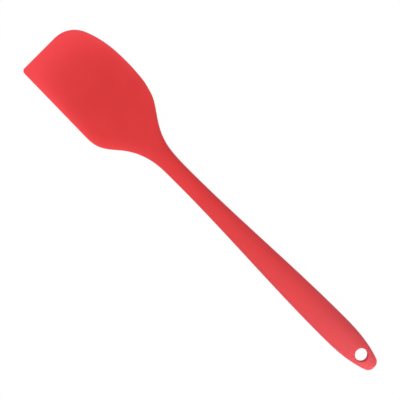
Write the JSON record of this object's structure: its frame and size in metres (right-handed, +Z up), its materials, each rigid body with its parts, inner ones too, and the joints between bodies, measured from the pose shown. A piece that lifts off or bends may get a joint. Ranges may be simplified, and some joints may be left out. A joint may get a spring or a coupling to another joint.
{
  "type": "silicone spatula",
  "caption": "One-piece kitchen spatula: silicone moulded over a steel core, blade with one straight and one curved side, swelling handle with a hanging hole.",
  "frame": {"origin": "on the surface that the spatula lies on, below the middle of its length and the axis of its handle", "axes": "+Y along the handle towards the front edge of the blade, +X towards the blade's curved side, +Z up"},
  "size_m": [0.0504, 0.28, 0.0122],
  "materials": {
    "silicone": "satin moulded silicone, red right through",
    "core_steel": "stamped and tumbled stainless strip, hidden inside the silicone"
  },
  "bodies": {
    "root": {"silicone_body": "silicone", "steel_core": "core_steel"}
  },
  "joints": []
}
